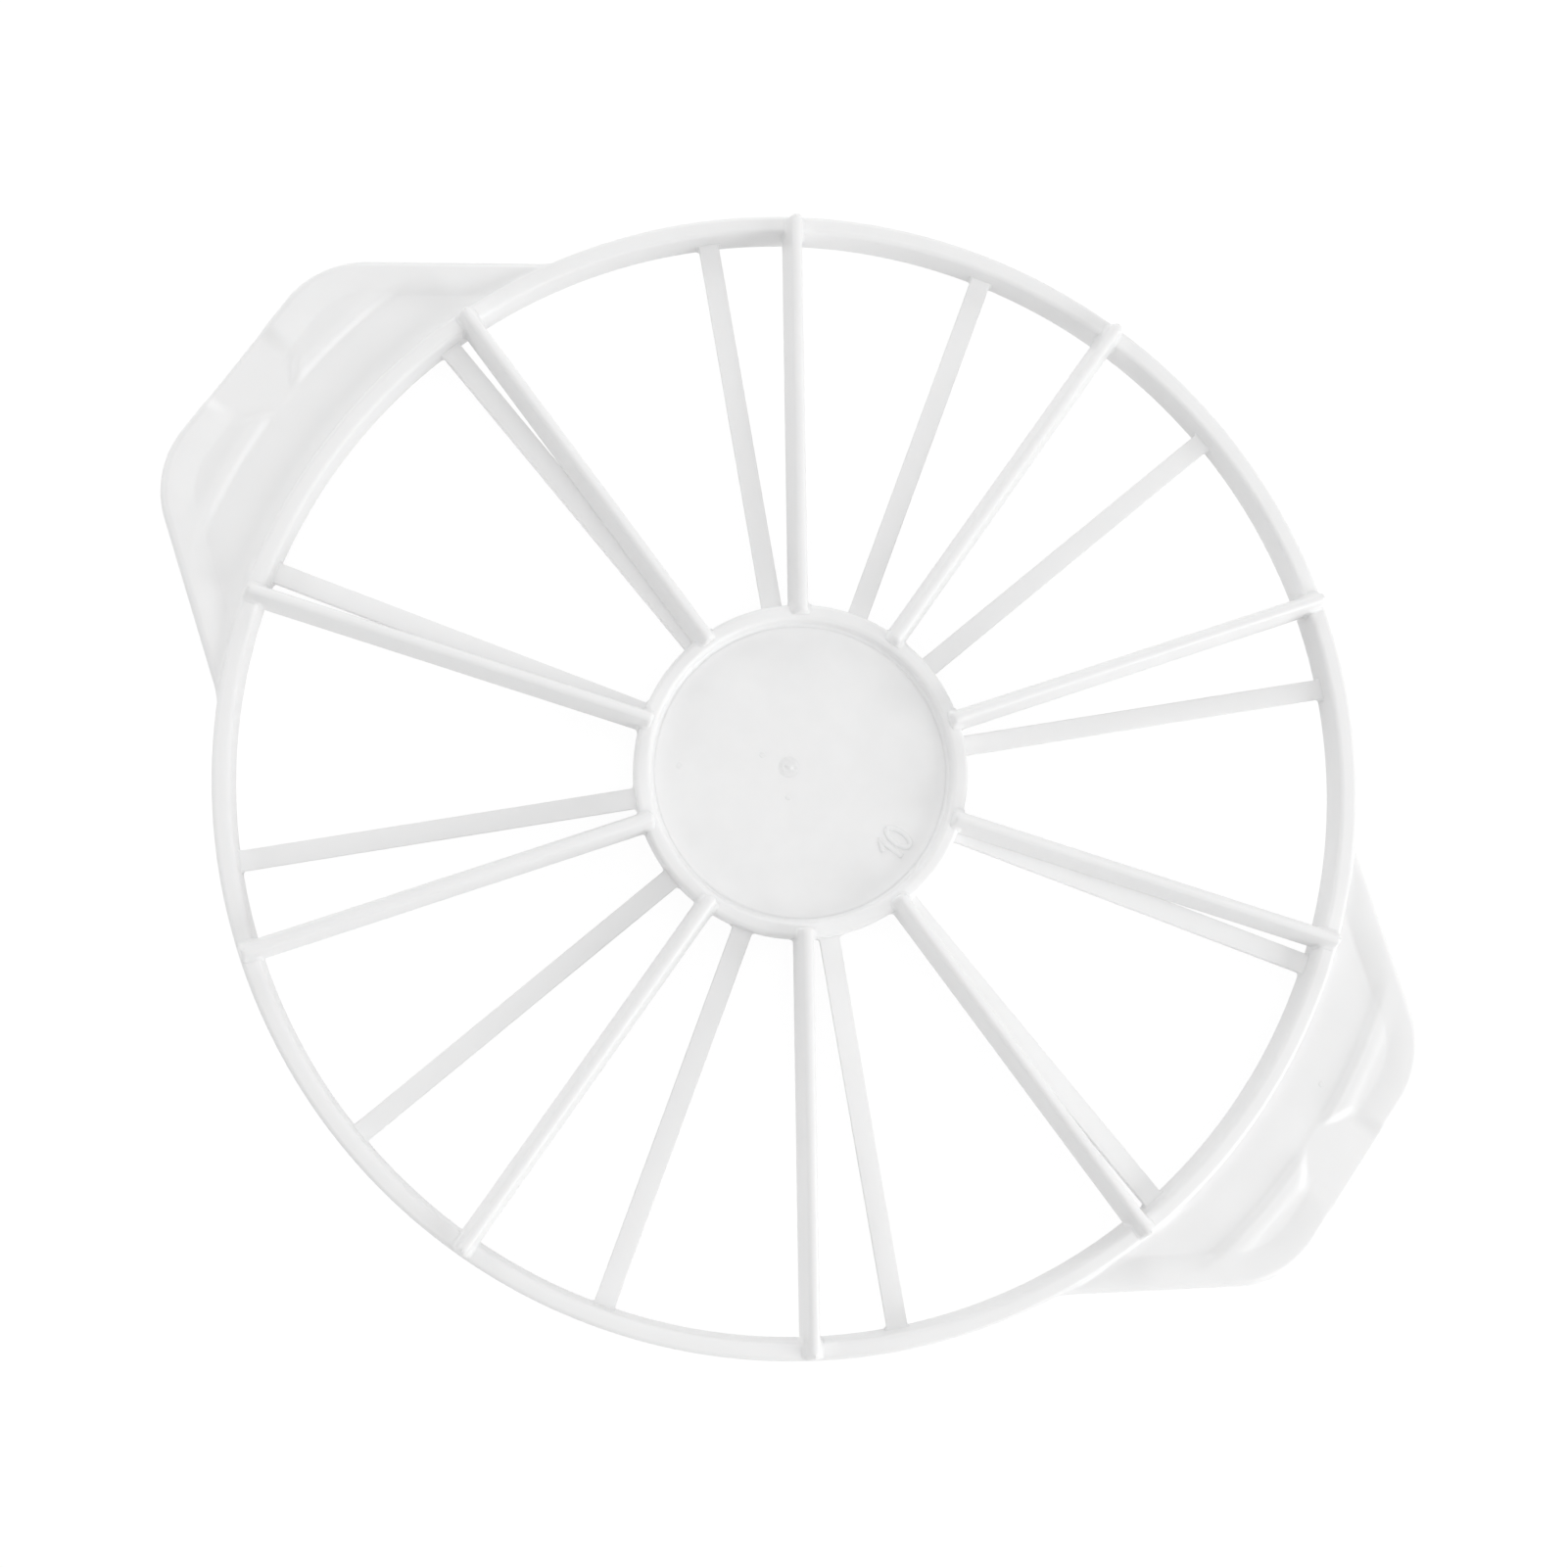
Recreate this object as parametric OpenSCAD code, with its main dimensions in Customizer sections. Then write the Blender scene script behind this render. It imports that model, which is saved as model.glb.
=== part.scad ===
// Two-sided cake divider.
// A ring carries ten marking ribs on its upper face and twelve on its lower face.
// The ribs run from a closed hub disc to the ring, and two handles stand out of the ring.
// The real object is one moulding in white plastic, split by a parting plane at half height.
// Each node below is one feature of that moulding, and the nodes meet face to face.
// Z is up, X runs along the handles, and the lower ribs stand on Z = 0.

/* [Ring] */
// Outer diameter of the ring
ring_d = 270; // [250:1:290]
// Thickness of the ring's wall
ring_wall = 4.5; // [3.5:0.1:6]
// Height of the ring's wall, both faces together
ring_h = 10; // [9:0.5:13]
// Rounding of the ring's four edges
ring_round = 1.2; // [0.5:0.1:1.5]

/* [Hub] */
// Outer diameter of the hub
hub_d = 79; // [60:1:100]
// Thickness of the hub's wall
hub_wall = 4; // [3.5:0.1:6]
// Height of the hub's wall, both faces together
hub_h = 10; // [9:0.5:13]
// Rounding of the hub's four edges
hub_round = 1.2; // [0.5:0.1:1.5]
// Thickness of the disc that closes the hub
floor_t = 2.4; // [1.6:0.1:4]
// Fillet between the disc and the hub's wall
floor_fillet = 0.8; // [0.5:0.1:2]

/* [Ribs] */
// Height of a rib above or below the parting plane
rib_h = 10.5; // [8:0.5:14]
// Thickness of a rib at the parting plane
rib_root_t = 5; // [3.5:0.1:6]
// Thickness of a rib at its marking edge
rib_edge_t = 2.2; // [1.8:0.1:3]
// Rounding along a rib's marking edge
rib_edge_round = 1; // [0.3:0.1:1]
// Distance from the ring's outer face to a rib's outer end
rib_outer_step = 0.5; // [0.2:0.1:1.2]
// How far a rib's outer end leans in over its height above the ring
rib_outer_lean = 1.2; // [0:0.1:2]
// Distance from the hub's inner face to a rib's inner end
rib_inner_step = 1.4; // [1.3:0.1:2.4]
// Bevel on a rib's two top corners, seen from the side
rib_corner_cut = 0.8; // [0.3:0.1:2]

/* [Handles] */
// How far a handle stands out of the ring
handle_out = 28; // [23:0.5:37]
// Angle of a handle's slanted sides to the long axis
side_angle = 37; // [30:1:42]
// How far a handle's slanted side passes inside the ring's outer face
side_inset = 11.6; // [9:0.2:17]
// Radius of a handle's two outer corners
corner_r = 24; // [15:1:28]
// Radius of the hollow blend where a slanted side runs into the ring
root_r = 20; // [5:1:30]
// Thickness of a handle's recessed plate
plate_t = 2.4; // [1.8:0.1:3.2]
// Full height of the raised border, both faces together
border_h = 6; // [5.4:0.2:7.4]
// Width of the border's level top
border_w = 2.4; // [2:0.1:4]
// Width of the slope from the border down to the plate
border_slope = 6.4; // [3:0.1:7]
// Rounding of the border's outer edges
border_round = 1.4; // [0.5:0.1:1.8]

/* [Grip] */
// Distance from the ring to the middle of the small step up from the plate to the grip
grip_gap = 13.2; // [10:0.1:15]
// Width of that step
grip_step = 2; // [1:0.1:4]
// Thickness of the grip in the finger saddle
saddle_t = 3; // [2.4:0.1:3.6]
// Thickness of the grip in the valley between the ridges and the border
valley_t = 3.8; // [3:0.1:4.6]
// Thickness of the grip at the ridges' crest
ridge_t = 5.2; // [4:0.1:5.4]
// Distance from the middle of the small step to the ridges' crest
ridge_offset = 3; // [2:0.1:4]
// Width of a ridge's flank towards the ring
inner_flank = 3.4; // [2:0.1:5]
// Width of a ridge's flank towards the border
outer_flank = 5.2; // [3:0.1:6]
// Half width of the finger saddle at its narrow end, next to the plate
saddle_inner = 2.4; // [1:0.1:6]
// Half width of the finger saddle over the border
saddle_outer = 8.3; // [3:0.1:9]
// Distance over which the finger saddle widens
saddle_reach = 7; // [3:0.5:9]
// Width of the saddle's sloped ends
saddle_slope = 4.8; // [2:0.1:7]

/* [Hidden] */
TOP_RIBS = 10;
BOTTOM_RIBS = 12;
$fn = 96;
white = "#f4f3f1";

ring_r = ring_d / 2;
hub_r = hub_d / 2;
hub_inner_r = hub_r - hub_wall;
handle_reach = ring_r + handle_out;
side_reach = ring_r - side_inset;
grip_r = ring_r + grip_gap;
ridge_r = grip_r + ridge_offset;
overlap = 1;

// Fineness of a handle's surface: rays across each half, and bands along the rays.
ray_count = 28;
centre_share = 0.6;
flank_bands = 4;
crest_bands = 2;
slope_bands = 5;
round_bands = 3;
root_stop_angle = 0.8;

// Everything is drawn about the parting plane and lifted onto the table.
module on_table() { color(white) translate([0, 0, rib_h]) children(); }

// Smooth fall from 1 at t = 0 to 0 at t = 1, level beyond both.
function fade(t) = 0.5 + 0.5 * cos(180 * min(1, max(0, t)));

// A rectangle from x0 to x1, centred on the parting plane, with round corners.
module round_bar(x0, x1, h, r) {
    translate([x0 + r, -h / 2]) square([x1 - x0 - 2 * r, h]);
    translate([x0, -h / 2 + r]) square([x1 - x0, h - 2 * r]);
    for (x = [x0 + r, x1 - r], y = [-h / 2 + r, h / 2 - r]) translate([x, y]) circle(r);
}

// ---- ring ----

module ring_solid() {
    rotate_extrude() round_bar(ring_r - ring_wall, ring_r, ring_h, ring_round);
}

module ring() { on_table() ring_solid(); }

// ---- hub ----

// The wall's section, with a fillet down to each face of the disc.
module hub_section() {
    round_bar(hub_inner_r, hub_r, hub_h, hub_round);
    for (side = [0, 1]) mirror([0, side]) difference() {
        translate([hub_inner_r - floor_fillet, floor_t / 2]) square([floor_fillet + overlap, floor_fillet]);
        translate([hub_inner_r - floor_fillet, floor_t / 2 + floor_fillet]) circle(floor_fillet);
    }
}

module hub_solid() { rotate_extrude() hub_section(); }

module hub_ring() { on_table() hub_solid(); }

module hub_disc() { on_table() cylinder(r = hub_inner_r, h = floor_t, center = true); }

// ---- ribs ----

// Half a rib's thickness at the centre of its edge rounding.
function edge_centre() =
    let (a = rib_root_t / 2, b = rib_edge_t / 2, l = norm([a - b, rib_h]))
    a - (rib_edge_round * l + (a - b) * (rib_h - rib_edge_round)) / rib_h;

// A rib cut across: a tapered wall with a rounded marking edge.
module rib_section() {
    a = rib_root_t / 2;
    b = rib_edge_t / 2;
    lean = atan2(a - b, rib_h);
    x = edge_centre();
    tangent = [x + rib_edge_round * cos(lean), rib_h - rib_edge_round + rib_edge_round * sin(lean)];
    polygon([[-a, 0], [a, 0], tangent, [x, rib_h], [-x, rib_h], [-tangent.x, tangent.y]]);
    for (side = [-1, 1]) translate([side * x, rib_h - rib_edge_round]) circle(rib_edge_round);
}

// A rib seen from the side, from the hub on the left to the ring on the right.
module rib_side_view() {
    inner = hub_inner_r + rib_inner_step;
    outer = ring_r - rib_outer_step;
    top = rib_h - rib_corner_cut;
    above = rib_corner_cut + overlap;
    polygon([
        [inner, -overlap], [outer, -overlap], [outer, ring_h / 2],
        [outer - rib_outer_lean, top], [outer - rib_outer_lean - above, top + above],
        [inner + above, top + above], [inner, top]
    ]);
}

module rib_blade() {
    intersection() {
        rotate([90, 0, 90]) linear_extrude(ring_r) rib_section();
        rotate([90, 0, 0]) linear_extrude(rib_root_t + overlap, center = true) rib_side_view();
    }
}

// One rib along its own angle, cut away where the ring and the hub are.
module rib(angle, down) {
    on_table() difference() {
        rotate([0, 0, angle]) mirror([0, 0, down]) rib_blade();
        ring_solid();
        hub_solid();
    }
}

function top_angle(i) = (i - 0.5) * 360 / TOP_RIBS;
function bottom_angle(i) = (i - 0.5) * 360 / BOTTOM_RIBS;

module ten_side_rib(i) { rib(top_angle(i), 0); }
module twelve_side_rib(i) { rib(bottom_angle(i), 1); }

// ---- handles ----
// A handle is one surface over its plan, mirrored below the parting plane. The plan is worked out
// for the half with y >= 0, and e is a distance in from its outer edge.

side_normal = [sin(side_angle), cos(side_angle)];
side_along = [cos(side_angle), -sin(side_angle)];

corner_x = handle_reach - corner_r;
corner = [corner_x, (side_reach - corner_r - corner_x * side_normal.x) / side_normal.y];

root_angle = asin((side_reach + root_r) / (ring_r + root_r)) - side_angle;
root = (ring_r + root_r) * [cos(root_angle), sin(root_angle)];

function angle_of(p) = atan2(p.y, p.x);

// Distance from the origin along a ray to the near (-1) or far (1) side of a circle.
function ray_to_circle(a, centre, r, side) =
    let (m = centre * [cos(a), sin(a)]) m + side * sqrt(max(0, r * r - centre * centre + m * m));

// The outline, moved in by e: outer edge, corner, slanted side, and the blend into the ring.
function outline_r(a, e) =
    a < angle_of([handle_reach - e, corner.y]) ? (handle_reach - e) / cos(a)
    : a < angle_of(corner + (corner_r - e) * side_normal) ? ray_to_circle(a, corner, corner_r - e, 1)
    : a < angle_of(root - (root_r + e) * side_normal) ? (side_reach - e) / sin(side_angle + a)
    : ray_to_circle(a, root, root_r + e, -1);

// Distance of a point of the plan from the outline.
function inset(p) =
    let (from_corner = p - corner, from_root = p - root)
    from_root * side_along < 0 ? norm(from_root) - root_r
    : from_corner.y > 0 && from_corner * side_along > 0 ? corner_r - norm(from_corner)
    : min(handle_reach - p.x, side_reach - p * side_normal);

// 1 in the finger saddle, 0 beside it. It widens from the plate to the border.
function saddle(p) =
    let (t = fade((p.x - grip_r) / saddle_reach))
    fade((p.y - saddle_outer + (saddle_outer - saddle_inner) * t) / saddle_slope);

// Height of the ridges and the valley behind them over the saddle's floor.
function hill(r) =
    let (crest = (ridge_t - saddle_t) / 2, valley = (valley_t - saddle_t) / 2)
    r < ridge_r ? crest * fade((ridge_r - r) / inner_flank)
    : valley + (crest - valley) * fade((r - ridge_r) / outer_flank);

// What the round edge takes off at a distance e in from the outline.
function edge_drop(e, r) = e >= r ? 0 : r - sqrt(max(0, r * r - (r - e) * (r - e)));

// Half the handle's thickness: the plate or the saddle's floor, with the hill and the border on it.
function half_thickness(p) =
    let (
        e = max(0, inset(p)),
        step = fade((norm(p) - grip_r) / grip_step + 0.5),
        floor_level = (saddle_t - (saddle_t - plate_t) * step) / 2,
        top = border_h / 2 - floor_level,
        relief = hill(norm(p)) + (top - hill(norm(p))) * fade((e - border_w) / border_slope),
        level = floor_level + relief * (1 - saddle(p))
    )
    level - edge_drop(e, border_round * level / (border_h / 2));

// Distances from the ring out over the ridge's crest, and insets from the border's toe to the edge.
flank_foot = ridge_r - inner_flank;
step_foot = grip_r - grip_step / 2;
inner_radii = concat(
    [ring_r, (ring_r + step_foot) / 2, step_foot],
    [for (i = [1 : flank_bands]) flank_foot + i * inner_flank / flank_bands],
    [for (i = [1 : crest_bands]) ridge_r + i * inner_flank / flank_bands]
);
slope_insets = [for (i = [0 : slope_bands]) border_w + border_slope * (1 - i / slope_bands)];
round_insets = [for (i = [0 : round_bands]) border_round * (1 - sin(90 * i / round_bands))];
edge_insets = concat(slope_insets, round_insets);

strip_angle = (root_angle - root_stop_angle) * (3 - 2 * centre_share) / ray_count;
inner_r = ring_r / cos(strip_angle / 2);

// Radii of the surface's points along one ray, drawn together where the handle is narrow.
function ray_radii(a) =
    let (
        edge = outline_r(a, 0),
        toe = edge - outline_r(a, border_w + border_slope),
        squeeze = min(1, (edge - inner_r) / (1.6 * toe)),
        inner_end = edge - toe * squeeze,
        last = inner_radii[len(inner_radii) - 1] + inner_flank / flank_bands,
        shrink = min(1, (inner_end - inner_r) / (last - inner_r))
    )
    concat(
        [for (r = inner_radii) inner_r + max(0, r - inner_r) * shrink],
        [for (e = edge_insets) edge - (edge - outline_r(a, e)) * squeeze]
    );

// Angle of a ray for u from -1 to 1, with the rays closest together at the saddle.
function ray_angle(u) =
    (root_angle - root_stop_angle) * u * (centre_share + (1 - centre_share) * u * u);

module handle() {
    rows = 2 * ray_count + 1;
    columns = len(inner_radii) + len(edge_insets);
    upper = [for (i = [0 : rows - 1])
        let (a = ray_angle(i / ray_count - 1), s = a < 0 ? -1 : 1)
        for (r = ray_radii(abs(a)))
            let (p = r * [cos(a), s * sin(a)]) [p.x, s * p.y, half_thickness(p)]];
    count = rows * columns;
    lower = [for (p = upper) [p.x, p.y, -p.z]];
    function at(i, j, k) = k * count + i * columns + j;
    function quad(a, b, c, d) = [[a, b, c], [a, c, d]];
    faces = [
        for (i = [0 : rows - 2], j = [0 : columns - 2]) each concat(
            quad(at(i, j, 0), at(i + 1, j, 0), at(i + 1, j + 1, 0), at(i, j + 1, 0)),
            quad(at(i, j, 1), at(i, j + 1, 1), at(i + 1, j + 1, 1), at(i + 1, j, 1))
        ),
        for (i = [0 : rows - 2]) each concat(
            quad(at(i, 0, 0), at(i, 0, 1), at(i + 1, 0, 1), at(i + 1, 0, 0)),
            quad(at(i, columns - 1, 0), at(i + 1, columns - 1, 0),
                at(i + 1, columns - 1, 1), at(i, columns - 1, 1))
        ),
        for (j = [0 : columns - 2]) each concat(
            quad(at(0, j, 0), at(0, j + 1, 0), at(0, j + 1, 1), at(0, j, 1)),
            quad(at(rows - 1, j, 0), at(rows - 1, j, 1),
                at(rows - 1, j + 1, 1), at(rows - 1, j + 1, 0))
        )
    ];
    polyhedron(concat(upper, lower), faces);
}

module right_handle() { on_table() handle(); }
module left_handle() { on_table() mirror([1, 0]) handle(); }

ring();
hub_ring();
hub_disc();
for (i = [1 : TOP_RIBS])
    ten_side_rib(i);
for (i = [1 : BOTTOM_RIBS])
    twelve_side_rib(i);
right_handle();
left_handle();
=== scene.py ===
# %% [markdown]
# # A two-sided cake divider in moulded white plastic
# A baker presses this divider on a round cake to mark ten equal slices, or turns it over to mark
# twelve. The real object is one injection moulding: a ring, a closed hub, straight ribs on both
# faces and two shaped handles. Its finish is all about small things. The edges are rounded by the
# mould, the ribs grow out of the ring with fillets, and white plastic scatters a little light
# inside. So the lesson is mostly about clean surfaces, which show well in plain soft light.

# %% [markdown]
# ## The frame
# The CAD model is loaded first and is never moved or changed. Its boxes give the sizes that the
# finer pieces below are built on. All work is in millimetres about the parting plane, the plane
# at half height where the two halves of the mould meet, and is turned to metres at the end.

# %% Load the frame and read its sizes
import math

import bmesh
import bpy
from mathutils import Matrix, Vector


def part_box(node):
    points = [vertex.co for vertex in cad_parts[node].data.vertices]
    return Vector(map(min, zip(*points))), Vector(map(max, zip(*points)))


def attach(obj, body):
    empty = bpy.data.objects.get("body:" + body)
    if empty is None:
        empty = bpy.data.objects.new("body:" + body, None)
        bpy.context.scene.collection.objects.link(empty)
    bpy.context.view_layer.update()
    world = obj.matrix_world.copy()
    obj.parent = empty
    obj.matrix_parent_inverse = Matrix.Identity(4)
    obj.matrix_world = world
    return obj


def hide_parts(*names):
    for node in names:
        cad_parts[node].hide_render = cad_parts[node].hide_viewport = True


MM = 0.001

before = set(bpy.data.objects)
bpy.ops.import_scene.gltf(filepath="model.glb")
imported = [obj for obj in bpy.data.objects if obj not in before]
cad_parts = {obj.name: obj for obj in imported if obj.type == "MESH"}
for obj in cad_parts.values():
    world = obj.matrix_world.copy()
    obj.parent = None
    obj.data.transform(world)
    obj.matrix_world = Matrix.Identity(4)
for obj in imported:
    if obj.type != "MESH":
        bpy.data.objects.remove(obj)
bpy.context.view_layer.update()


def size_mm(node, axis):
    """How far a node reaches along one axis, in millimetres."""
    low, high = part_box(node)
    return (high[axis] - low[axis]) / MM


ring_r = size_mm("ring", 0) / 2
ring_half_h = size_mm("ring", 2) / 2
hub_r = size_mm("hub_ring", 0) / 2
hub_half_h = size_mm("hub_ring", 2) / 2
floor_half_t = size_mm("hub_disc", 2) / 2
hub_inner_r = size_mm("hub_disc", 0) / 2
rib_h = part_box("ten_side_rib_01")[1].z / MM / 2
handle_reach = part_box("right_handle")[1].x / MM
border_half_h = size_mm("right_handle", 2) / 2
parting_plane = Vector((0, 0, rib_h))

print(f"ring {2 * ring_r:.1f} mm, hub {2 * hub_r:.1f} mm, over handles {2 * handle_reach:.1f} mm")

# %% [markdown]
# ## Small maths that every piece shares
# A mould leaves no sharp edge. `round_off` gives what a round edge takes off a surface at a
# distance from the edge, and the same curve, added instead of taken off, makes the fillet where
# two walls meet. `fade` is a soft step for the gentle shapes of the grips.

# %% Curves


def round_off(distance, radius):
    """What a quarter-round edge takes off at a distance in from the edge."""
    if distance >= radius:
        return 0.0
    inside = radius - max(0.0, distance)
    return radius - math.sqrt(max(0.0, radius * radius - inside * inside))


def fade(t):
    """Smooth fall from 1 at t = 0 to 0 at t = 1, level beyond both."""
    return 0.5 + 0.5 * math.cos(math.pi * min(1.0, max(0.0, t)))


def quarter_steps(radius, count):
    """Distances from 0 to radius, closest together at 0, as a quarter round needs them."""
    return [radius * (1 - math.cos(math.pi / 2 * i / count)) for i in range(count + 1)]


def between(start, end, count):
    """Even steps after start, up to and with end."""
    return [start + (end - start) * (i + 1) / count for i in range(count)]


# %% [markdown]
# ## The white plastic
# Dividers like this are moulded in polypropylene or a similar food-safe plastic. It is a clean
# white, a touch see-through, so edges and thin ribs look softer than paint would. The mould's
# steel is polished, but not to a mirror, which gives a satin sheen. Slow waves in the sheen come
# from the melt shrinking as it sets. The fine grain is drawn about three times as coarse as it
# is, or it wouldn't show. Colours are written as sRGB hex values, which one function turns to
# the linear values that shaders use.
#
# One function makes every finish. Polished steel leaves the ring, the hub's wall and the ribs
# smooth, the grips are a touch glossier where hands rub them, and the hub's floor is satin. Small
# spots and the torn gate stub are duller and a shade darker, and too thin to scatter light.

# %% Colour and node helpers


def linear(hex_code):
    """sRGB hex code to the linear colour that a shader takes."""
    channels = [int(hex_code[i : i + 2], 16) / 255 for i in (1, 3, 5)]
    return [c / 12.92 if c <= 0.04045 else ((c + 0.055) / 1.055) ** 2.4 for c in channels] + [1]


def add_node(tree, kind, settings=None, links=None):
    """Adds one node, sets its sockets or properties, and links sockets to other nodes' outputs."""
    node = tree.nodes.new(kind)
    for key, value in (settings or {}).items():
        if isinstance(key, int) or key in node.inputs:
            node.inputs[key].default_value = value
        else:
            setattr(node, key, value)
    for socket, source in (links or {}).items():
        tree.links.new(source, node.inputs[socket])
    return node


# %% Moulded polypropylene

POLYPROPYLENE_IOR = 1.49
SCATTER_DEPTH_MM = 1.5
white, white_in_flow = "#F7F7F7", "#F5F5F5"
glossier, duller = 0.03, 0.04


def moulded_polypropylene(
    name, roughness, wave_mm, grain_mm, grain_depth_mm, tones=(white_in_flow, white), scatter=0.15
):
    """White polypropylene: a satin sheen that wanders slowly, and the fine grain of the steel."""
    material = bpy.data.materials.new(name)
    material.use_nodes = True
    tree = material.node_tree
    tree.nodes.clear()
    place = add_node(tree, "ShaderNodeTexCoord").outputs["Object"]
    waves = add_node(
        tree,
        "ShaderNodeTexNoise",
        {"Scale": 1 / (wave_mm * MM), "Detail": 2.0, "Roughness": 0.55},
        {"Vector": place},
    ).outputs["Fac"]
    tint = add_node(tree, "ShaderNodeValToRGB", links={"Fac": waves})
    tint.color_ramp.elements[0].position = 0.35
    tint.color_ramp.elements[0].color = linear(tones[0])
    tint.color_ramp.elements[1].position = 0.65
    tint.color_ramp.elements[1].color = linear(tones[1])
    sheen = add_node(
        tree,
        "ShaderNodeMapRange",
        {
            "From Min": 0.3,
            "From Max": 0.7,
            "To Min": roughness - glossier,
            "To Max": roughness + duller,
        },
        {"Value": waves},
    ).outputs["Result"]
    grain = add_node(
        tree,
        "ShaderNodeTexNoise",
        {"Scale": 1 / (grain_mm * MM), "Detail": 3.0},
        {"Vector": place},
    ).outputs["Fac"]
    relief = add_node(
        tree,
        "ShaderNodeBump",
        {"Strength": 1.0, "Distance": grain_depth_mm * MM},
        {"Height": grain},
    ).outputs["Normal"]
    plastic = add_node(
        tree,
        "ShaderNodeBsdfPrincipled",
        {
            "IOR": POLYPROPYLENE_IOR,
            "Subsurface Weight": scatter,
            "Subsurface Radius": (1.0, 0.95, 0.9),
            "Subsurface Scale": SCATTER_DEPTH_MM * MM,
        },
        {"Base Color": tint.outputs["Color"], "Roughness": sheen, "Normal": relief},
    )
    add_node(tree, "ShaderNodeOutputMaterial", links={"Surface": plastic.outputs["BSDF"]})
    return material


# %% The five finishes

polished_polypropylene = moulded_polypropylene(
    "polished_polypropylene", roughness=0.36, wave_mm=18, grain_mm=0.9, grain_depth_mm=0.001
)
satin_polypropylene = moulded_polypropylene(
    "satin_polypropylene", roughness=0.48, wave_mm=7, grain_mm=0.7, grain_depth_mm=0.008
)
grip_polypropylene = moulded_polypropylene(
    "grip_polypropylene", roughness=0.32, wave_mm=14, grain_mm=0.8, grain_depth_mm=0.004
)
# Small spots, a shade darker and duller than the plastic round them, with no scatter.
darker_spot_polypropylene = moulded_polypropylene(
    "darker_spot_polypropylene",
    roughness=0.5,
    wave_mm=1.6,
    grain_mm=0.7,
    grain_depth_mm=0.008,
    tones=("#F1F1F1", "#F5F5F5"),
    scatter=0.0,
)
torn_polypropylene = moulded_polypropylene(
    "torn_polypropylene",
    roughness=0.6,
    wave_mm=1.6,
    grain_mm=0.5,
    grain_depth_mm=0.02,
    tones=("#EDEDED", "#F3F3F3"),
    scatter=0.0,
)
print("materials:", [m.name for m in bpy.data.materials])

# %% [markdown]
# ## From points to a piece
# Every piece is made from lists of points and faces in millimetres. `add_piece` moves them to
# their place in metres, makes all faces look outwards, smooths the shading, hangs the piece on the
# root body, and hides the CAD nodes that the piece stands for.

# %% Piece and surface helpers


def add_piece(name, points, faces, material, stands_for=(), place=Matrix.Identity(4)):
    """A smooth closed piece from millimetre points about the parting plane."""
    mesh = bpy.data.meshes.new(name)
    mesh.from_pydata([(place @ Vector(p) + parting_plane) * MM for p in points], [], faces)
    work = bmesh.new()
    work.from_mesh(mesh)
    bmesh.ops.recalc_face_normals(work, faces=work.faces)
    work.to_mesh(mesh)
    work.free()
    mesh.polygons.foreach_set("use_smooth", [True] * len(mesh.polygons))
    mesh.materials.append(material)
    piece = bpy.data.objects.new(name, mesh)
    bpy.context.scene.collection.objects.link(piece)
    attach(piece, "root")
    if stands_for:
        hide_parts(*stands_for)
    return piece


def lathe(profile, segments, closed):
    """A profile of (radius, height) points turned about the Z axis. Radius 0 makes a pole."""
    points, first = [], []
    for radius, height in profile:
        first.append(len(points))
        turns = segments if radius > 0 else 1
        for k in range(turns):
            a = 2 * math.pi * k / turns
            points.append((radius * math.cos(a), radius * math.sin(a), height))

    def at(i, k):
        """Index of point k on ring i. A pole has only one."""
        return first[i] + (k % segments if profile[i][0] > 0 else 0)

    faces = []
    last = len(profile) if closed else len(profile) - 1
    for i in range(last):
        j = (i + 1) % len(profile)
        for k in range(segments):
            faces.append(tuple(dict.fromkeys((at(i, k), at(i, k + 1), at(j, k + 1), at(j, k)))))
    return points, faces


def pillow(plan, half_thickness):
    """Two mirrored skins over a grid of plan points, closed all round by a rim."""
    rows, columns = len(plan), len(plan[0])
    upper = [(u, v, half_thickness(u, v)) for row in plan for u, v in row]
    points = upper + [(u, v, -w) for u, v, w in upper]

    def at(i, j, skin):
        """Index of a plan point on the upper skin (0) or the lower one (1)."""
        return (skin * rows + i) * columns + j

    faces = []
    for i in range(rows - 1):
        for j in range(columns - 1):
            faces.append((at(i, j, 0), at(i, j + 1, 0), at(i + 1, j + 1, 0), at(i + 1, j, 0)))
            faces.append((at(i, j, 1), at(i + 1, j, 1), at(i + 1, j + 1, 1), at(i, j + 1, 1)))
    for i in range(rows - 1):
        for j in (0, columns - 1):
            faces.append((at(i, j, 0), at(i + 1, j, 0), at(i + 1, j, 1), at(i, j, 1)))
    for j in range(columns - 1):
        for i in (0, rows - 1):
            faces.append((at(i, j, 0), at(i, j, 1), at(i, j + 1, 1), at(i, j + 1, 0)))
    return points, faces


# %% [markdown]
# ## The ring and the hub's wall
# Both are walls turned about the centre, so a lathe fits: half of the section is drawn and
# mirrored at the parting plane. The walls lean in by a hair towards their edges. That is the
# draft, which lets the moulding leave the steel, and it leaves a faint crease where the two
# halves of the mould met.

# %% Wall section

TURNS = 384
SKIM_MM = 1e-6
wall_draft = 0.12


def corner(centre, radius, start, end, count=8):
    """Points on an arc about a centre, from one angle to another, in degrees."""
    return [
        (
            centre[0] + radius * math.cos(math.radians(start + (end - start) * i / count)),
            centre[1] + radius * math.sin(math.radians(start + (end - start) * i / count)),
        )
        for i in range(count + 1)
    ]


def wall_top(inner, outer, half_h, rounding):
    """The upper half of a wall's section, from the outer crease over the top to the inside."""
    shoulder = half_h - rounding
    return (
        [(outer, 0.0)]
        + corner((outer - wall_draft - rounding, shoulder), rounding, 0, 90)
        + corner((inner + wall_draft + rounding, shoulder), rounding, 90, 180)
    )


def mirrored(half):
    """A section's upper half and its mirror image below, as one loop."""
    return half + [(r, -z) for r, z in reversed(half) if abs(z) > SKIM_MM]


# %% Ring

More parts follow.
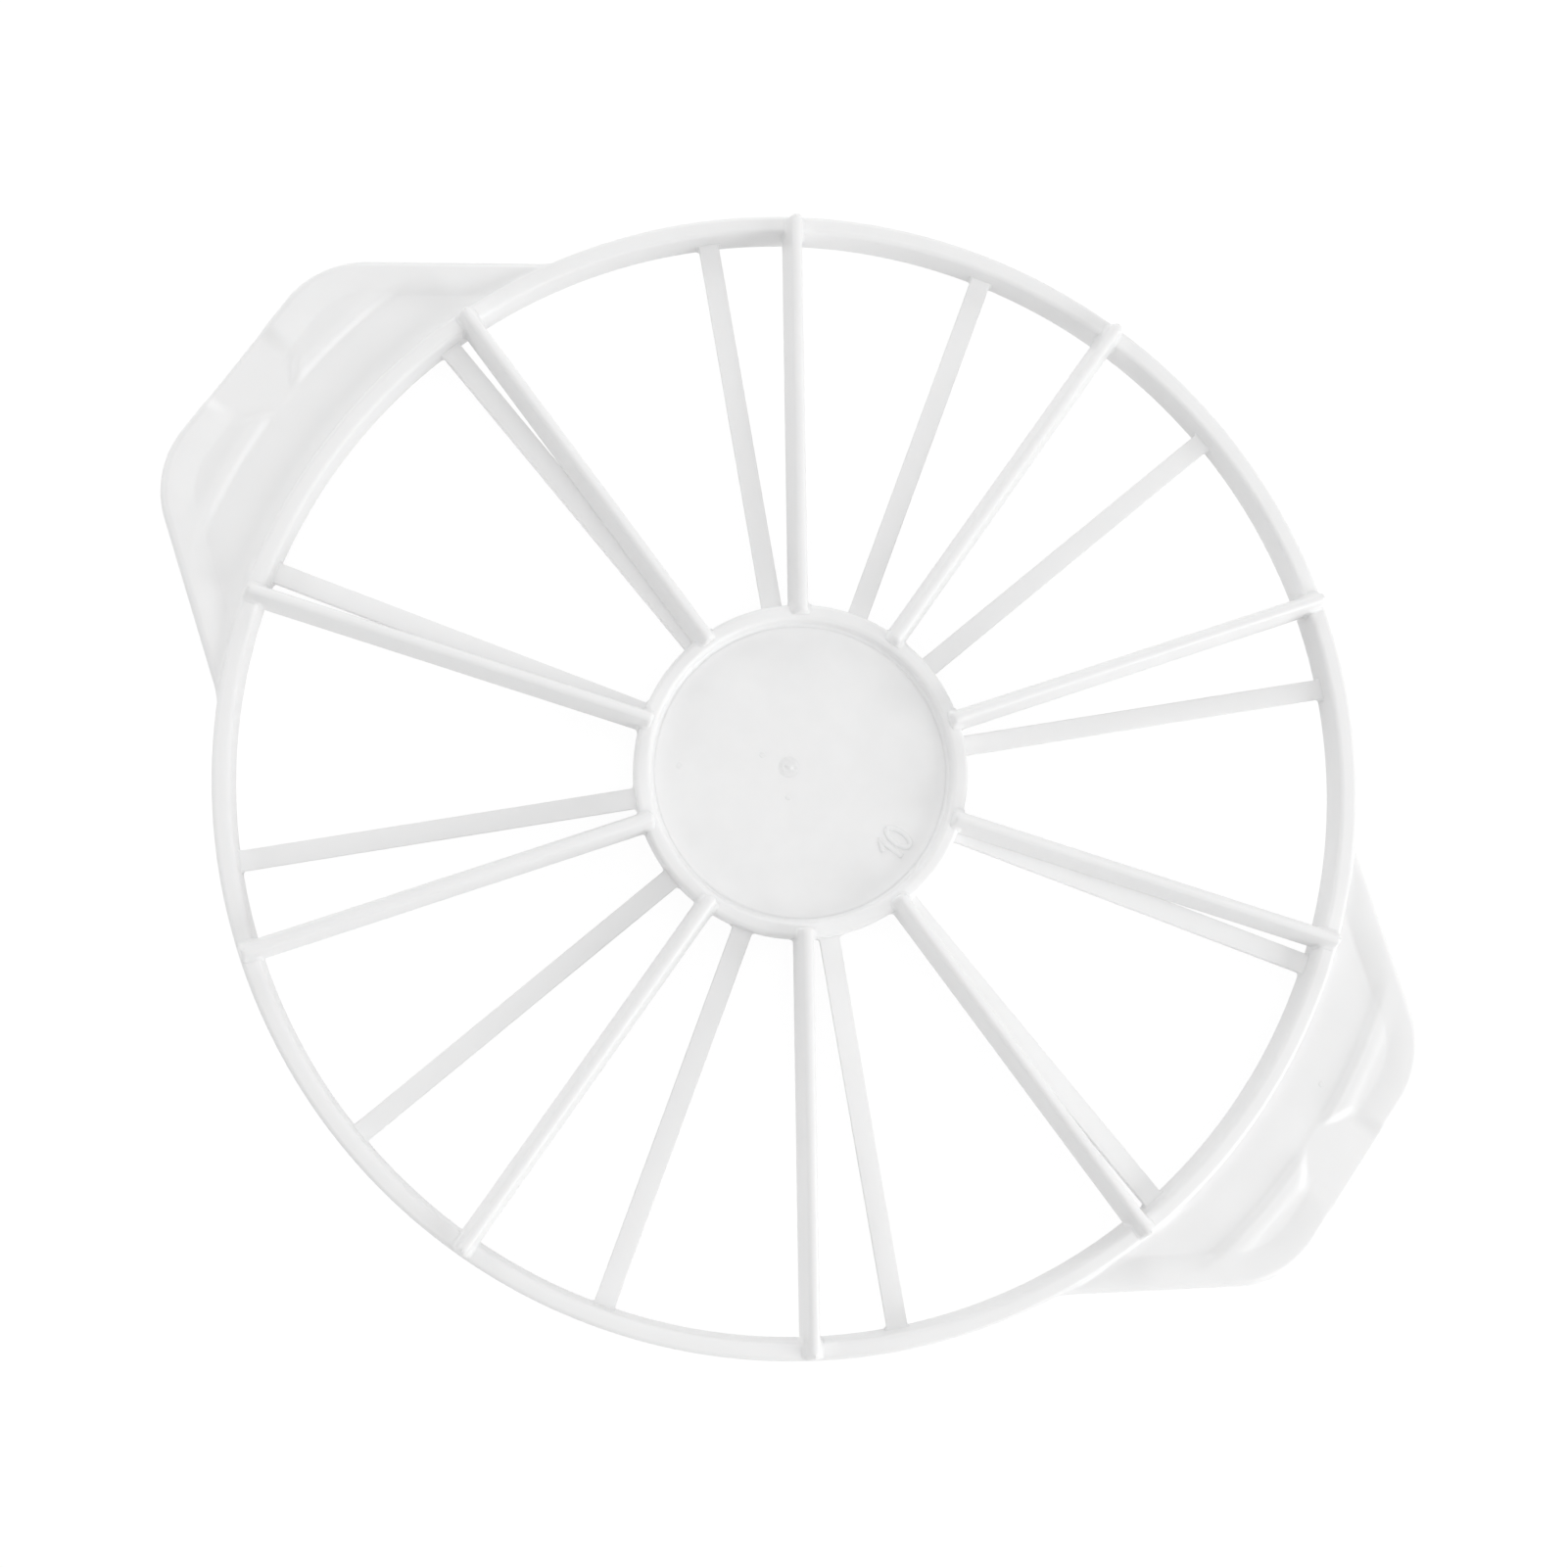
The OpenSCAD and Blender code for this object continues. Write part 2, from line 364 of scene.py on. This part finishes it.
ring_wall, ring_round = 4.5, 1.2

ring_section = wall_top(ring_r - ring_wall, ring_r, ring_half_h, ring_round)
ring_section.append((ring_r - ring_wall, 0.0))
ring_mesh = lathe(mirrored(ring_section), TURNS, closed=True)
add_piece("ring_wall", *ring_mesh, polished_polypropylene, ["ring"])
print("ring wall:", len(ring_mesh[0]), "points")

# %% [markdown]
# The hub's wall has a fillet at its foot, where it grows out of the floor. The wall's section
# ends in a small lip that dips under the floor's face, so the two pieces meet without a gap.

# %% Hub wall

hub_round, floor_fillet, fillet_lip = 1.2, 0.8, 0.1

fillet_centre = (hub_inner_r - floor_fillet, floor_half_t + floor_fillet)
lip_r = fillet_centre[0] - fillet_lip
hub_section = wall_top(hub_inner_r, hub_r, hub_half_h, hub_round)
hub_section += corner(fillet_centre, floor_fillet, 0, -90)
hub_section += [(lip_r, floor_half_t - fillet_lip), (lip_r, 0.0)]
hub_mesh = lathe(mirrored(hub_section), TURNS, closed=True)
add_piece("hub_wall", *hub_mesh, polished_polypropylene, ["hub_ring"])
print("hub wall:", len(hub_mesh[0]), "points")

# %% [markdown]
# ## The hub's floor
# The thin disc that closes the hub is the one flat face big enough to show how the melt came in.
# Its steel was left duller than the ribs', so it gets the satin finish, and it sinks by a few
# hundredths of a millimetre between its middle and its edge as it cools. The disc runs halfway
# under the wall's fillet, so no seam shows. It is a lathe piece too, with a pole at its middle.

# %% Hub floor

floor_rings = 36
floor_sink = 0.03


def floor_height(r):
    """Half the disc's thickness: flat, with the slow sink of cooling plastic."""
    return floor_half_t - floor_sink * math.sin(math.pi * min(1.0, r / fillet_centre[0])) ** 2


floor_edge = hub_inner_r - floor_fillet / 2
floor_radii = [floor_edge * i / floor_rings for i in range(floor_rings + 1)]
floor_profile = [(r, floor_height(r)) for r in floor_radii]
floor_profile += [(r, -z) for r, z in reversed(floor_profile)]
floor_mesh = lathe(floor_profile, TURNS, closed=False)
add_piece("hub_floor", *floor_mesh, satin_polypropylene, ["hub_disc"])
print("hub floor:", len(floor_mesh[0]), "points")

# %% [markdown]
# ## One rib, then twenty-two
# A rib is a tapered wall with a round marking edge. It could be a box with bevels, but the way
# it grows out of the ring and the hub is what makes it look moulded. So its side is a surface
# over the rib's side view, and its half thickness is the draft's taper, plus a fillet near the
# ring and the hub, less the rounding of its own edges. The distance to the ring's and the hub's
# section, which the fillet needs, is that of a rounded rectangle.

# %% Rib sizes

rib_root_t, rib_edge_t, thinnest = 5.0, 2.2, 0.05
edge_round, root_round, root_fillet = 1.0, 0.35, 0.8
end_round = 1.0
inner_end = hub_inner_r + 1.4
outer_end = ring_r - 0.5
outer_lean = 1.2
lean_zone = 9.0
print(f"a rib runs from {inner_end:.1f} to {outer_end:.1f} mm and is {rib_h:.1f} mm high")

# %% Rib shape


def wall_distance(r, z, inner, outer, half_h, rounding):
    """Distance of a point from a wall's section, negative inside it."""
    across = abs(r - (inner + outer) / 2) - ((outer - inner) / 2 - rounding)
    up = abs(z) - (half_h - rounding)
    return math.hypot(max(across, 0), max(up, 0)) + min(max(across, up), 0) - rounding


def outer_end_at(z):
    """Radius of the rib's outer end, which leans in above the ring."""
    return outer_end - outer_lean * max(0.0, z - ring_half_h) / (rib_h - ring_half_h)


def end_distance(r, z):
    """Distance in from the rib's ends and marking edge, with its two round corners."""
    along = min(r - inner_end, outer_end_at(z) - r)
    up = rib_h - z
    if along < end_round and up < end_round:
        return end_round - math.hypot(end_round - along, end_round - up)
    return min(along, up)


def rib_half_thickness(r, z):
    """Taper, plus the fillets at the ring and the hub, less the rounding of the edges."""
    taper = (rib_root_t + (rib_edge_t - rib_root_t) * z / rib_h) / 2
    to_ring = wall_distance(r, z, ring_r - ring_wall, ring_r, ring_half_h, ring_round)
    to_hub = wall_distance(r, z, hub_inner_r, hub_r, hub_half_h, hub_round)
    grown = round_off(to_ring, root_fillet) + round_off(to_hub, root_fillet)
    worn = round_off(end_distance(r, z), edge_round) + round_off(z, root_round)
    return max(thinnest, taper + grown - worn)


def rib_plan():
    """Grid of (radius, height) points, closest together where the surface bends."""
    ring_inner = ring_r - ring_wall
    fillet_steps = quarter_steps(root_fillet, 6)
    radii = [inner_end + s for s in quarter_steps(end_round, 6)]
    radii += between(radii[-1], hub_r, 3)[:-1] + [hub_r + s for s in fillet_steps]
    radii += between(radii[-1], ring_inner - root_fillet, 14)[:-1]
    radii += [ring_inner - s for s in reversed(fillet_steps)]
    radii += between(ring_inner, outer_end - end_round, 5)[:-1]
    radii += [outer_end - s for s in reversed(quarter_steps(end_round, 6))]
    heights = quarter_steps(root_round, 3)
    shoulder = ring_half_h - ring_round
    heights += between(heights[-1], shoulder, 3) + between(shoulder, ring_half_h, 3)[:-1]
    heights += [ring_half_h + s for s in fillet_steps]
    heights += between(heights[-1], rib_h - end_round, 4)[:-1]
    heights += [rib_h - s for s in reversed(quarter_steps(end_round, 8))]
    plan = []
    for height in heights:
        row = []
        for r in radii:
            corner_drop = round_off(min(r - inner_end, outer_end - r), end_round)
            z = height * (rib_h - corner_drop) / rib_h
            share = max(0.0, 1 - (outer_end - r) / lean_zone)
            row.append((r + (outer_end_at(z) - outer_end) * share, z))
        plan.append(row)
    return plan


# %% The rib's mesh

rib_points, rib_faces = pillow(rib_plan(), rib_half_thickness)
print("rib:", len(rib_points), "points")

# %% [markdown]
# The rib is worked out once. Each copy is turned to its own angle, and the copies of the
# twelve-slice side are mirrored below the parting plane. The two sets start at half a step, so
# the handles lie in the middle of a slice on both sides.

# %% Place the ribs

upright = Matrix(((1, 0, 0, 0), (0, 0, -1, 0), (0, 1, 0, 0), (0, 0, 0, 1)))
below = Matrix.Diagonal((1, 1, -1, 1))

for side, count, flip in (("ten", 10, Matrix.Identity(4)), ("twelve", 12, below)):
    for i in range(1, count + 1):
        turn = Matrix.Rotation(math.radians((i - 0.5) * 360 / count), 4, "Z")
        add_piece(
            f"{side}_side_blade_{i:02d}",
            rib_points,
            rib_faces,
            polished_polypropylene,
            [f"{side}_side_rib_{i:02d}"],
            turn @ flip @ upright,
        )
    print(side, "side:", count, "ribs")

# %% [markdown]
# ## The handles
# A handle has a recessed plate next to the ring, a curved ridge for the fingertips, a raised
# border along the edge, and a saddle in the middle where a thumb lies. Subdivision modelling
# would work, but the plan is made of true lines and arcs, and the relief follows them. So this
# is again a surface over a plan: rays from the ring's centre, cut at insets of the outline.

# %% Handle outline

side_angle = math.radians(37)
side_reach = ring_r - 11.6
corner_r, root_r = 24.0, 20.0
side_normal = Vector((math.sin(side_angle), math.cos(side_angle)))
side_along = Vector((math.cos(side_angle), -math.sin(side_angle)))
corner_x = handle_reach - corner_r
corner_y = (side_reach - corner_r - corner_x * side_normal.x) / side_normal.y
corner_centre = Vector((corner_x, corner_y))
root_angle = math.asin((side_reach + root_r) / (ring_r + root_r)) - side_angle
root_centre = (ring_r + root_r) * Vector((math.cos(root_angle), math.sin(root_angle)))


def angle_of(p):
    """Angle of a plan point about the ring's centre."""
    return math.atan2(p[1], p[0])


def ray_to_circle(a, centre, r, side):
    """Distance from the origin along a ray to the near (-1) or far (1) side of a circle."""
    middle = centre.x * math.cos(a) + centre.y * math.sin(a)
    return middle + side * math.sqrt(max(0.0, r * r - centre.length_squared + middle * middle))


def outline_r(a, e):
    """The outline moved in by e: outer edge, corner, slanted side, blend into the ring."""
    if a < angle_of((handle_reach - e, corner_centre.y)):
        return (handle_reach - e) / math.cos(a)
    if a < angle_of(corner_centre + (corner_r - e) * side_normal):
        return ray_to_circle(a, corner_centre, corner_r - e, 1)
    if a < angle_of(root_centre - (root_r + e) * side_normal):
        return (side_reach - e) / math.sin(side_angle + a)
    return ray_to_circle(a, root_centre, root_r + e, -1)


def inset(p):
    """Distance of a point of the upper half of the plan from the outline."""
    from_corner, from_root = p - corner_centre, p - root_centre
    if from_root.dot(side_along) < 0:
        return from_root.length - root_r
    if from_corner.y > 0 and from_corner.dot(side_along) > 0:
        return corner_r - from_corner.length
    return min(handle_reach - p.x, side_reach - p.dot(side_normal))


print(f"the outline meets the ring {math.degrees(root_angle):.1f} degrees off the handle's middle")

# %% [markdown]
# The relief is a rule that gives the height from two distances: how far a point is from the
# ring's centre and how far it is in from the outline. The border's inner slope is an arch with a
# short fillet at its foot, as a cutter with a round nose leaves it. The saddle takes the ridge
# and the border away in the middle, and the outer edge is rounded last.

# %% Handle relief

plate_half_t, saddle_half_t, valley_half_t, ridge_half_t = 1.2, 1.5, 1.9, 2.6
border_w, border_slope, border_round = 1.6, 6.6, 2.0
arch_power, arch_foot = 1.9, 0.1
grip_r, grip_step = ring_r + 13.2, 2.0
ridge_r, ridge_w, inner_flank, outer_flank = grip_r + 3.0, 1.0, 2.2, 4.6
saddle_inner, saddle_outer, saddle_reach, saddle_slope = 2.4, 8.3, 7.0, 4.8
plate_fillet = 0.9


def arch(t):
    """Falls from 1 at t = 0 as an arch does, and ends in a short fillet that reaches 0 at t = 1."""
    t = min(1.0, max(0.0, t))
    arch_end = 1 - arch_foot
    drop = 1 / (1 + arch_power * arch_foot / (2 * arch_end))
    if t < arch_end:
        return 1 - drop * (t / arch_end) ** arch_power
    return (1 - drop) * ((1 - t) / arch_foot) ** 2


def saddle(p):
    """1 in the finger saddle, 0 beside it. It widens from the plate to the border."""
    t = fade((p.x - grip_r) / saddle_reach)
    return fade((p.y - saddle_outer + (saddle_outer - saddle_inner) * t) / saddle_slope)


def hill(r):
    """Height of the ridges and the valley behind them over the saddle's floor."""
    crest, valley = ridge_half_t - saddle_half_t, valley_half_t - saddle_half_t
    if r < ridge_r:
        return crest * fade((ridge_r - ridge_w - r) / inner_flank)
    return valley + (crest - valley) * fade((r - ridge_r) / outer_flank)


def handle_half_thickness(x, y):
    """Plate and grip with the hill and the border on them, and the fillet at the ring."""
    p = Vector((x, abs(y)))
    r, e = p.length, max(0.0, inset(p))
    on_plate = fade((r - grip_r) / grip_step + 0.5)
    floor_level = saddle_half_t - (saddle_half_t - plate_half_t) * on_plate
    border = arch((e - border_w) / border_slope)
    relief = hill(r) + (border_half_h - floor_level - hill(r)) * border
    level = floor_level + relief * (1 - saddle(p))
    room = ring_half_h - ring_round - level
    edge = round_off(e, border_round * level / border_half_h)
    return level - edge + round_off(r - ring_r, min(plate_fillet, room))


# %% [markdown]
# The points along a ray stand close together on the fillet, the ridge and the outer edge, where
# the surface bends, and they are drawn together where the handle grows narrow beside the ring.
# The rays stand closest in the middle, on the saddle. The last one stops just short of the
# outline's end, where the handle would be as thin as nothing.

# %% Handle surface

STRIPS = 96
centre_share = 0.6
short_of_root = math.radians(0.3)
last_ray = root_angle - short_of_root
sunk_in_ring = 0.8
behind_ridge, gap_to_toe, toe_room = 2.4, 0.4, 1.6
toe_inset = border_w + border_slope

inner_radii = [ring_r - sunk_in_ring] + [ring_r + s for s in quarter_steps(plate_fillet, 5)]
inner_radii += between(inner_radii[-1], grip_r - grip_step / 2, 5)
inner_radii += between(inner_radii[-1], ridge_r, 14) + between(ridge_r, ridge_r + behind_ridge, 6)
edge_insets = [toe_inset] + between(toe_inset, border_round, 16)
edge_insets += list(reversed(quarter_steps(border_round, 8)))[1:]


def ray_radii(a):
    """Radii of the points along one ray, drawn together where the handle is narrow."""
    edge = outline_r(a, 0)
    toe = edge - outline_r(a, toe_inset)
    start = inner_radii[0]
    squeeze = min(1.0, (edge - ring_r) / (toe_room * toe))
    toe_r = edge - toe * squeeze
    shrink = min(1.0, (toe_r - start) / (inner_radii[-1] + gap_to_toe - start))
    radii = [start + (r - start) * shrink for r in inner_radii]
    return radii + [edge - (edge - outline_r(a, e)) * squeeze for e in edge_insets]


handle_plan = []
for i in range(2 * STRIPS + 1):
    u = i / STRIPS - 1
    a = last_ray * u * (centre_share + (1 - centre_share) * u * u)
    handle_plan.append([(r * math.cos(a), r * math.sin(a)) for r in ray_radii(abs(a))])

handle_points, handle_faces = pillow(handle_plan, handle_half_thickness)
half_turn = Matrix.Rotation(math.pi, 4, "Z")
add_piece("right_grip", handle_points, handle_faces, grip_polypropylene, ["right_handle"])
add_piece("left_grip", handle_points, handle_faces, grip_polypropylene, ["left_handle"], half_turn)
print("handle:", len(handle_points), "points")

# %% [markdown]
# ## The slice numbers and the gate mark
# Each face carries its plain count of slices as low raised strokes, cut into the steel with a
# round tool. A stroke is a half-round bead swept along a line, sunk a little into the floor.

# %% Beads on the hub's floor

bead_half_w, bead_h, bead_sink = 0.65, 0.4, 0.1


def bead(path, closed):
    """A low half-round bead along a path of plan points, sunk a little into the floor."""
    count, sides = len(path), 8
    points, faces = [], []
    for i, here in enumerate(path):
        before = path[i - 1] if closed or i > 0 else here
        after = path[(i + 1) % count] if closed or i < count - 1 else here
        along = (Vector(after) - Vector(before)).normalized()
        across = Vector((-along.y, along.x))
        for k in range(sides + 1):
            t = math.pi * k / sides
            offset = across * bead_half_w * math.cos(t)
            height = bead_h * math.sin(t) if 0 < k < sides else -bead_sink
            points.append((here[0] + offset.x, here[1] + offset.y, height))
    ring = sides + 1
    for i in range(count if closed else count - 1):
        j = (i + 1) % count
        for k in range(ring):
            m = (k + 1) % ring
            faces.append((i * ring + k, i * ring + m, j * ring + m, j * ring + k))
    if not closed:
        faces += [tuple(range(ring)), tuple(range((count - 1) * ring, count * ring))]
    return points, faces


def oval(centre, half_x, half_y, count=40):
    """An upright ellipse as a closed path."""
    angles = [2 * math.pi * k / count for k in range(count)]
    return [(centre[0] + half_x * math.cos(t), centre[1] + half_y * math.sin(t)) for t in angles]


def line(points, step=0.25):
    """A line through a few points, cut into short steps."""
    path = [Vector(points[0])]
    for a, b in zip(points, points[1:]):
        a, b = Vector(a), Vector(b)
        count = max(1, round((b - a).length / step))
        path += [a + (b - a) * (k + 1) / count for k in range(count)]
    return path


# %% [markdown]
# The digits stand with their heads towards the middle. A one is a flag and a stem, a nought is an
# oval, and a two is half a circle, a slant and a foot. The same one serves both faces.

# %% Slice numbers

digit_head, digit_foot = 24.5, 31.0
one_y, round_y, bow = -2.4, 0.7, 1.5
flag_drop, flag_reach = 2.2, 1.75
bow_foot = (digit_head + 2.9, round_y + 1.2)
two_foot, foot_overhang = (digit_foot, round_y - bow), 0.3

one_tip = (digit_head + flag_drop, one_y - flag_reach)
one = line([one_tip, (digit_head, one_y), (digit_foot, one_y)])
nought = oval(((digit_head + digit_foot) / 2, round_y), (digit_foot - digit_head) / 2, bow)
two = [
    (digit_head + bow * (1 - math.sin(math.radians(t))), round_y - bow * math.cos(math.radians(t)))
    for t in range(0, 181, 12)
]
two += line([(digit_head + bow, round_y + bow), bow_foot, two_foot])[1:]
two += line([two_foot, (digit_foot, round_y + bow + foot_overhang)])[1:]

on_floor = Matrix.Translation((0, 0, floor_half_t - floor_sink / 3))
under_floor = Matrix.Rotation(math.pi, 4, "X") @ on_floor
for name, path, closed, place in (
    ("number_ten_one", one, False, on_floor),
    ("number_ten_nought", nought, True, on_floor),
    ("number_twelve_one", one, False, under_floor),
    ("number_twelve_two", two, False, under_floor),
):
    add_piece(name, *bead(path, closed), satin_polypropylene, place=place)
    print(name, "has", len(path), "steps")

# %% [markdown]
# The gate, where the melt came in, leaves a low round scar with two pits and the nub where the
# plastic tore off. Three faint spots on the floor and one on a handle's plate are a shade darker.
# All are thin patches that end just below the face they lie on.

# %% Gate scar

gate_place = Matrix.Translation((-2.9, -0.87, floor_half_t - floor_sink))
gate_r, gate_slope, gate_h = 2.8, 1.4, 0.2
gate_nub, nub_h, mark_w = Vector((0.3, -0.15)), 0.25, 0.45
gate_pits = (Vector((-0.8, -0.6)), Vector((1.1, 0.65)))


def bump_at(p, centre, width):
    """A smooth bump, 1 at its centre and next to nothing at twice its width."""
    return math.exp(-((p - centre).length_squared) / (width * width))


def gate_height(p):
    """The scar's low plateau, with two pits and the nub where the sprue tore off."""
    plateau = gate_h * fade((p.length - gate_r + gate_slope) / gate_slope)
    pits = max(bump_at(p, pit, mark_w) for pit in gate_pits)
    return plateau * (1 - pits) + nub_h * bump_at(p, gate_nub, mark_w)


def scar(radius, height_at, rings=16, turns=48):
    """A low round patch with a height rule, closed below by a sunk disc."""
    points = [(0.0, 0.0, height_at(Vector((0, 0))))]
    for i in range(1, rings + 1):
        for k in range(turns):
            a = 2 * math.pi * k / turns
            p = Vector((math.cos(a), math.sin(a))) * radius * i / rings
            points.append((p.x, p.y, height_at(p)))
    rim = len(points) - turns
    faces = [(0, 1 + k, 1 + (k + 1) % turns) for k in range(turns)]
    for i in range(rings - 1):
        for k in range(turns):
            a, b = 1 + i * turns + k, 1 + i * turns + (k + 1) % turns
            faces.append((a, a + turns, b + turns, b))
    points += [(x, y, -bead_sink) for x, y, _ in points[rim:]]
    for k in range(turns):
        m = (k + 1) % turns
        faces.append((rim + k, rim + turns + k, rim + turns + m, rim + m))
    faces.append(tuple(range(rim + turns, rim + 2 * turns)))
    return points, faces


add_piece("gate_scar", *scar(gate_r, gate_height), torn_polypropylene, place=gate_place)

# %% Darker spots

spot_r, spot_h = 0.7, 0.02

for name, x, y in (
    ("floor_spot_1", -9.6, -2.2),
    ("floor_spot_2", 1.05, -6.75),
    ("floor_spot_3", -24.2, -15.8),
    ("plate_spot", 144.3, 11.9),
):
    r = math.hypot(x, y)
    z = floor_height(r) if r < hub_inner_r else plate_half_t
    patch = scar(spot_r, lambda p: spot_h * fade(p.length / spot_r), rings=4, turns=20)
    add_piece(name, *patch, darker_spot_polypropylene, place=Matrix.Translation((x, y, z)))
    print(f"{name} at {x:.1f}, {y:.1f} mm")

# %% [markdown]
# ## Floor, light and camera
# The divider lies on a white table in a bright room. The table is a plain matt sheet. What the
# camera sees of it is mostly pure white, but a share of its real shading stays, so that a faint
# shadow still grounds the object.

# %% Table


def straight_to_eye(tree):
    """1 for rays from the camera, from a reflection or through a clear body, else 0."""
    path = add_node(tree, "ShaderNodeLightPath").outputs
    first = add_node(
        tree,
        "ShaderNodeMath",
        {"operation": "MAXIMUM"},
        {0: path["Is Camera Ray"], 1: path["Is Glossy Ray"]},
    ).outputs[0]
    return add_node(
        tree,
        "ShaderNodeMath",
        {"operation": "MAXIMUM"},
        {0: first, 1: path["Is Transmission Ray"]},
    ).outputs[0]


table_size = 6.0
table_gap = 0.05 * MM
white_share, glow_strength = 0.9, 1.05
white_light = (1, 1, 1, 1)

table_paint = bpy.data.materials.new("matt_white_table")
table_paint.use_nodes = True
tree = table_paint.node_tree
tree.nodes.clear()
shaded = add_node(tree, "ShaderNodeBsdfDiffuse", {"Color": linear("#F2F2F2")}).outputs["BSDF"]
glow = add_node(
    tree, "ShaderNodeEmission", {"Color": white_light, "Strength": glow_strength}
).outputs[0]
share = add_node(
    tree, "ShaderNodeMath", {"operation": "MULTIPLY", 1: white_share}, {0: straight_to_eye(tree)}
).outputs[0]
seen = add_node(tree, "ShaderNodeMixShader", links={0: share, 1: shaded, 2: glow}).outputs[0]
add_node(tree, "ShaderNodeOutputMaterial", links={"Surface": seen})

half = table_size / 2
table_corners = [(x * half, y * half, -table_gap) for x, y in ((-1, -1), (1, -1), (1, 1), (-1, 1))]
table_mesh = bpy.data.meshes.new("table")
table_mesh.from_pydata(table_corners, [], [(0, 1, 2, 3)])
table_mesh.materials.append(table_paint)
table = bpy.data.objects.new("table", table_mesh)
bpy.context.scene.collection.objects.link(table)
print(f"table: {table_size:.0f} m square")

# %% [markdown]
# The world fills in from all round, because a white room has hardly a dark corner. The camera
# sees it as a plain white backdrop. Four round softboxes do the shaping: a wide ceiling, a low
# key lamp beyond the right handle, which draws the steep flanks, and two low fills that keep the
# far sides of the ribs from going grey.

# %% World

fill_strength, backdrop_strength = 0.48, 1.0

world = bpy.data.worlds.new("white_room")
bpy.context.scene.world = world
world.use_nodes = True
tree = world.node_tree
tree.nodes.clear()
fill, backdrop = [
    add_node(tree, "ShaderNodeBackground", {"Color": white_light, "Strength": strength}).outputs[0]
    for strength in (fill_strength, backdrop_strength)
]
seen = add_node(
    tree, "ShaderNodeMixShader", links={0: straight_to_eye(tree), 1: fill, 2: backdrop}
).outputs[0]
add_node(tree, "ShaderNodeOutputWorld", links={"Surface": seen})

# %% Softboxes

lamp_distance = 1.25


def add_softbox(name, azimuth, elevation, size, watts):
    """A round lamp cloth, size in metres, that faces the object. Both angles are in degrees."""
    data = bpy.data.lights.new(name, "AREA")
    data.shape = "DISK"
    data.size = size
    data.energy = watts
    lamp = bpy.data.objects.new(name, data)
    bpy.context.scene.collection.objects.link(lamp)
    flat, steep = math.radians(azimuth), math.radians(elevation)
    level = math.cos(steep)
    towards = Vector((math.cos(flat) * level, math.sin(flat) * level, math.sin(steep)))
    lamp.location = parting_plane * MM + towards * lamp_distance
    lamp.rotation_mode = "QUATERNION"
    lamp.rotation_quaternion = towards.to_track_quat("Z", "Y")
    print(f"{name}: {size} m, {watts} W")


add_softbox("ceiling", azimuth=0, elevation=90, size=1.37, watts=3.05)
add_softbox("key", azimuth=2, elevation=20, size=1.02, watts=8.0)
add_softbox("side_fill", azimuth=120, elevation=20, size=0.8, watts=3.4)
add_softbox("back_fill", azimuth=200, elevation=20, size=0.8, watts=2.5)

# %% [markdown]
# The camera looks down from about half a metre, ten degrees off straight, with a normal lens.
# Its place, the point that it looks at and the direction that is up in the picture say all there
# is to say about it.

# %% Camera

camera_place = Vector((-12.9, -81.9, 477.2)) * MM
camera_aim = Vector((-1.54, -4.62, 10.5)) * MM
picture_up = math.radians(125.13)
sensor_mm, lens_mm = 36.0, 46.08

camera_data = bpy.data.cameras.new("camera")
camera_data.sensor_width = sensor_mm
camera_data.lens = lens_mm
camera_data.clip_start = 10 * MM
camera = bpy.data.objects.new("camera", camera_data)
bpy.context.scene.collection.objects.link(camera)
bpy.context.scene.camera = camera

forward = (camera_aim - camera_place).normalized()
right = forward.cross(Vector((math.cos(picture_up), math.sin(picture_up), 0))).normalized()
up = right.cross(forward)
axes = Matrix((right, up, -forward)).transposed().to_4x4()
camera.matrix_world = Matrix.Translation(camera_place) @ axes
print(f"camera {camera_place.length / MM:.0f} mm away, {lens_mm} mm lens")

bpy.context.scene.view_settings.view_transform = "Standard"
